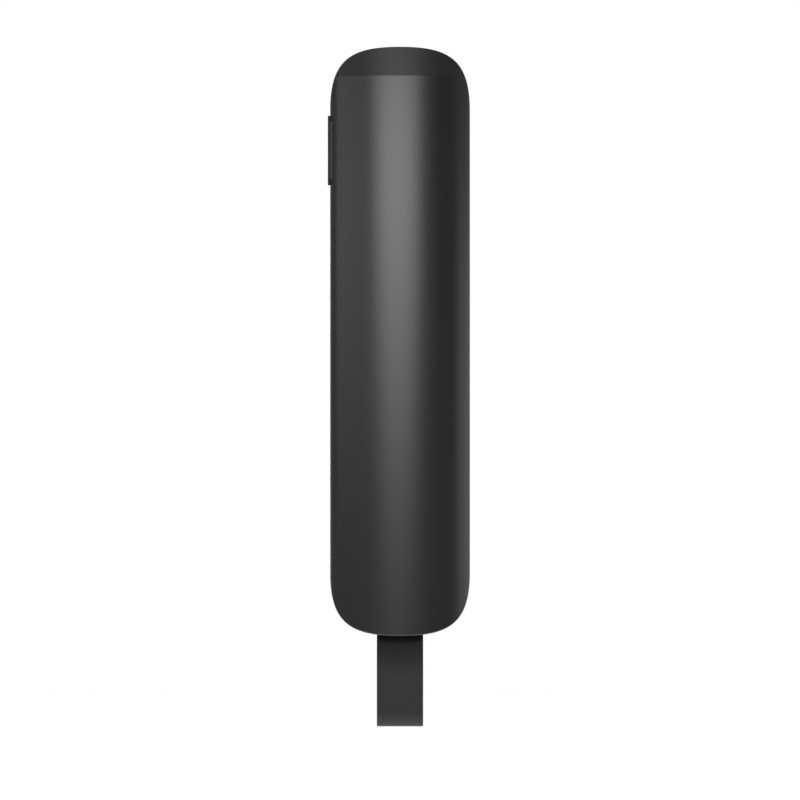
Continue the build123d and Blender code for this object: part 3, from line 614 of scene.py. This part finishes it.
# ---------------------------------------------------------------------------------------------
# Vibration motor: small can in a rubber cradle with a sintered half weight on its shaft.

rubber_finish = porous("seal_rubber", 0.02, size=0.0002, depth=0.000004)
weight_finish = metal("weight_tungsten", (0.30, 0.29, 0.28, 1), 0.42, size=0.0002)
dress(rubber_finish, "motor_cradle")
dress(switch_finish, "motor_can")
dress(weight_finish, "motor_weight")


# ---------------------------------------------------------------------------------------------
# Screws: small blackened-steel pan heads hold the board, the garage and the cap to the sled.

screw_finish = metal("screw_steel", (0.20, 0.20, 0.21, 1), 0.35, size=0.0002)
dress(screw_finish, "board_screws", "dock_screws", "cap_screws")


# ---------------------------------------------------------------------------------------------
# Receiver's garage: moulded frame with two sprung steel leaves that grip the receiver's plug,
# closed by a cover plate that follows the tube's round end.

cover_finish = moulded("cover_plastic", 0.02, 0.42, gloss=0.4)
spring_finish = metal("spring_steel", (0.56, 0.56, 0.55, 1), 0.25, stretch=(0.1, 1, 1))
dress(frame_finish, "dock_frame")
dress(spring_finish, "dock_springs")
dress(cover_finish, "base_cover")


# ---------------------------------------------------------------------------------------------
# Buttons: moulded in dark plastic, crowned to the tube's curve with a shallow bowl for the
# thumb. Each pushes a short plunger onto its switch, and a light pipe shows the status light.

button_finish = moulded(
    "button_plastic", 0.022, 0.48, texture=0.0002, depth=0.000003, gloss=0.4
)
pipe_finish = Finish("light_pipe", {"Transmission Weight": 0.35, "IOR": 1.49})
haze = pipe_finish.grain(size=0.0004, detail=3.0)
pipe_finish.tint(haze, grey(0.55), grey(0.72))
pipe_finish.feed("Roughness", 0.3 + 0.15 * haze)
dress(button_finish, "pointer_button", "next_button", "back_button")
dress(frame_finish, "pointer_plunger", "next_plunger", "back_plunger", "side_plunger")
dress(pipe_finish, "led_window")


# ---------------------------------------------------------------------------------------------
# Side key: slim aluminium key for the volume, blasted and dyed like the tube, standing a little
# proud of it.

key_finish = anodised("key_aluminium", 0.018, 0.50)
dress(key_finish, "side_key")


# ---------------------------------------------------------------------------------------------
# Laser pointer: brass barrel with its driver board, pressed into the cap behind a clear disc.

brass_finish = metal("laser_brass", (0.72, 0.50, 0.22, 1), 0.25, stretch=(1, 1, 6))
black_board_finish = soldered_board(
    "board_black", (0.012, 0.012, 0.014, 1), (0.03, 0.03, 0.035, 1)
)
window_finish = Finish("window_clear", {"Transmission Weight": 1.0, "IOR": 1.49})
smears = window_finish.grain(size=0.0015, detail=3.0)
window_finish.tint(smears, (0.55, 0.08, 0.08, 1), (0.62, 0.12, 0.12, 1))
window_finish.feed("Roughness", 0.04 + 0.05 * smears)
dress(brass_finish, "laser_barrel")
dress(black_board_finish, "laser_board", "receiver_board")
dress(window_finish, "laser_window")


# ---------------------------------------------------------------------------------------------
# Cap over the aerial: radio-clear plastic with a fine matt texture, flush with the tube and
# sealed by a soft ring on its spigot.

cap_finish = moulded("cap_plastic", 0.0075, 0.38, texture=0.0002, depth=0.000002, gloss=0.15)
dress(cap_finish, "antenna_cap")
dress(rubber_finish, "cap_gasket")


# ---------------------------------------------------------------------------------------------
# Receiver: steel plug on a moulded tail that fills the garage's mouth. It slides out of the
# bottom end by the strap, which hangs from a steel pin through the tail.

dress(cover_finish, "receiver_tail")
dress(screw_finish, "strap_pin")


# ---------------------------------------------------------------------------------------------
# Strap loop: one flat closed band of soft silicone with rounded edges. It goes round the pin and
# hangs as a slim loop, bowed a little at the sides and folded at the bottom. Its colour has
# painted shade under the tube's lip and painted light at the fold.

# Half of the band's width and thickness, and the round of its edges.
STRAP_HALF = Vector((0.00455, 0.0005))
STRAP_ROUND = 0.00025
PIN_HEIGHT = 0.0022
FOLD_HEIGHT = -0.015
# Radii of the band's middle line: round the pin, in the fold and along its bowed sides.
PIN_TURN = 0.00135
FOLD_TURN = 0.0024
BOW_TURN = 0.045
ROUND_STEPS = 6
# Round the band's section: a point across and proud of its middle line, and its normal there.
band_section = []
for side_x, side_y, start in ((1, -1, -pi / 2), (1, 1, 0), (-1, 1, pi / 2), (-1, -1, pi)):
    for step in range(ROUND_STEPS + 1):
        turn = start + pi / 2 * step / ROUND_STEPS
        band_section.append(
            (
                side_x * (STRAP_HALF.x - STRAP_ROUND) + STRAP_ROUND * cos(turn),
                side_y * (STRAP_HALF.y - STRAP_ROUND) + STRAP_ROUND * sin(turn),
                cos(turn),
                sin(turn),
            )
        )
# Each side bows on an arc that meets the turns round the pin and the fold without a corner.
reach_high, reach_low = BOW_TURN - PIN_TURN, BOW_TURN - FOLD_TURN
bow_height = (PIN_HEIGHT + FOLD_HEIGHT) / 2
bow_height -= (reach_high**2 - reach_low**2) / (2 * (PIN_HEIGHT - FOLD_HEIGHT))
bow_middle = sqrt(reach_high**2 - (PIN_HEIGHT - bow_height) ** 2)
turn_high = atan2(PIN_HEIGHT - bow_height, bow_middle)
turn_low = atan2(FOLD_HEIGHT - bow_height, bow_middle)
arcs = (
    # middle across and up, radius, from, to, steps
    (0, PIN_HEIGHT, PIN_TURN, turn_high, pi - turn_high, 36),
    (bow_middle, bow_height, BOW_TURN, pi - turn_high, pi - turn_low, 48),
    (0, FOLD_HEIGHT, FOLD_TURN, pi - turn_low, 2 * pi + turn_low, 48),
    (-bow_middle, bow_height, BOW_TURN, turn_low, turn_high, 48),
)
band = Skin()
rings = []
for middle_y, middle_z, radius, first, last, steps in arcs:
    for step in range(steps):
        turn = first + (last - first) * step / steps
        out = Vector((0, cos(turn), sin(turn)))
        middle = Vector((0, middle_y, middle_z)) + out * radius
        ring = []
        for across, proud, lean_x, lean_out in band_section:
            point = middle + out * proud + Vector((across, 0, 0))
            ring.append((point, (out * lean_out + Vector((lean_x, 0, 0))).normalized()))
        rings.append(ring)
for before, after in zip(rings, rings[1:] + rings[:1]):
    band.strip(before, after)
# Heights between which the painted shade under the lip begins and the painted light at the fold
# ends.
PAINTED_SHADE_BAND = (-0.0090, -0.0015)
PAINTED_LIGHT_BAND = (-0.0174, -0.0148)
strap_finish = Finish("strap_silicone", {"Specular IOR Level": 0.1})
bloom = strap_finish.grain(size=0.004, detail=3.0)
pores = strap_finish.grain(size=0.00025, detail=2.0)
strap_height = strap_finish.add("ShaderNodeSeparateXYZ", {}, {0: strap_finish.place()}, "Z")
# Painted shade: the strap's colour darkens towards the tube's lip.
painted_shade_mask = strap_height.step(*PAINTED_SHADE_BAND)
# Painted light: the strap's colour pales towards the fold.
painted_light_mask = 1 - strap_height.step(*PAINTED_LIGHT_BAND)
silicone = strap_finish.mix(bloom, grey(0.017), grey(0.020))
silicone_with_painted_shade = strap_finish.mix(painted_shade_mask, silicone, grey(0.004))
strap_finish.tint(painted_light_mask, silicone_with_painted_shade, grey(0.034))
strap_finish.feed("Roughness", 0.50 + 0.06 * pores)
strap_finish.relief(pores, depth=0.000003)
strap_band = band.piece("strap_band", "strap_loop", "strap_silicone", strap_finish)
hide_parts("strap")


# ---------------------------------------------------------------------------------------------
# Studio: a plain white floor well below the strap's fold, in a dim room with a pale ceiling, a
# paler left side, a dark doorway and a white wall behind. Three soft lamps stand before the tube,
# one above the other, with a panel on each side of it and a lamp behind.

FLOOR_DROP = 0.08
FLOOR_REACH = 3
FLOOR_CORNERS = 96
floor_turns = [2 * pi * i / FLOOR_CORNERS for i in range(FLOOR_CORNERS)]
floor_rim = [(FLOOR_REACH * sin(turn), FLOOR_REACH * cos(turn), 0) for turn in floor_turns]
floor_mesh = bpy.data.meshes.new("floor")
floor_mesh.from_pydata(floor_rim, [], [tuple(reversed(range(FLOOR_CORNERS)))])
floor = stand("floor", floor_mesh)
floor.location.z = cad_box[0].z - FLOOR_DROP
floor_finish = Finish("floor_paper", {"Roughness": 0.9, "Specular IOR Level": 0.2})
mottle = floor_finish.grain(size=0.02, detail=2.0)
floor_finish.tint(mottle, grey(0.832), grey(0.846))
floor_mesh.materials.append(floor_finish.material)

# Brightness of the room's walls, and of its ceiling. The left side adds its own.
ROOM = 0.38
CEILING = 1.65
LEFT_SIDE = 0.42
DOORWAY = (sin(radians(24)), -cos(radians(24)), 0)
# Where each begins and is whole, as the cosine of the angle off its middle. The white belt round
# the horizon goes by the square of the cosine off the upright instead.
CEILING_EDGE = (0.25, 0.9)
LEFT_SIDE_EDGE = (0.7, 0.96)
DOORWAY_EDGE = (0.84, 0.98)
WHITE_WALL_EDGE = (0.985, 0.998)
WHITE_BELT_EDGE = (0.0016, 0.0022)
world = bpy.data.worlds.new("room")
bpy.context.scene.world = world
world.use_nodes = True
room = Nodes(world.node_tree)
way = room.add("ShaderNodeTexCoord", {}, {}, "Generated")
across, along, up = (
    room.add("ShaderNodeSeparateXYZ", {}, {0: way}, axis) for axis in ("X", "Y", "Z")
)
doorway = room.add(
    "ShaderNodeVectorMath", {"operation": "DOT_PRODUCT"}, {0: way, 1: DOORWAY}, "Value"
)
level = ROOM + (CEILING - ROOM) * up.step(*CEILING_EDGE)
level = level * (1 - doorway.step(*DOORWAY_EDGE))
level = level + LEFT_SIDE * (0 - across).step(*LEFT_SIDE_EDGE)
for white in (along.step(*WHITE_WALL_EDGE), 1 - (up * up).step(*WHITE_BELT_EDGE)):
    level = level + white * (1 - level)
backdrop = world.node_tree.nodes["Background"]
world.node_tree.links.new(level.socket, backdrop.inputs["Color"])

LAMPS = (
    # name, place, width, height, brightness
    ("key_high", (-0.010, -0.22, 0.100), 0.128, 0.050, 13.3),
    ("key_middle", (-0.006, -0.22, 0.055), 0.095, 0.040, 5.0),
    ("key_low", (-0.004, -0.22, 0.015), 0.075, 0.040, 1.0),
    ("left_panel", (-0.23, -0.15, 0.092), 0.30, 0.080, 2.2),
    ("back_lamp", (-0.03, 0.25, 0.06), 0.08, 0.14, 7.0),
    ("right_panel", (0.30, 0.03, 0.035), 0.36, 0.11, 2.0),
)
for name, place, width, height, brightness in LAMPS:
    # Rectangular and evenly bright, turned level to the tube's middle line, unseen itself.
    light = bpy.data.lights.new(name, "AREA")
    light.shape = "RECTANGLE"
    light.size, light.size_y = width, height
    light.energy = brightness * pi * width * height
    lamp = stand(name, light)
    lamp.location = place
    aim = Vector((0, 0, place[2]))
    lamp.rotation_euler = (aim - Vector(place)).to_track_quat("-Z", "Y").to_euler()
    lamp.visible_camera = False

CAMERA_DISTANCE = 2.0
CAMERA_HEIGHT = 0.04626
SENSOR_WIDTH = 36.0
FOCAL_LENGTH = 457.8
lens = bpy.data.cameras.new("camera")
lens.sensor_width = SENSOR_WIDTH
lens.lens = FOCAL_LENGTH
camera = stand("camera", lens)
camera.location = (0, -CAMERA_DISTANCE, CAMERA_HEIGHT)
camera.rotation_euler = (radians(90), 0, 0)
bpy.context.scene.camera = camera
bpy.context.scene.view_settings.view_transform = "Standard"
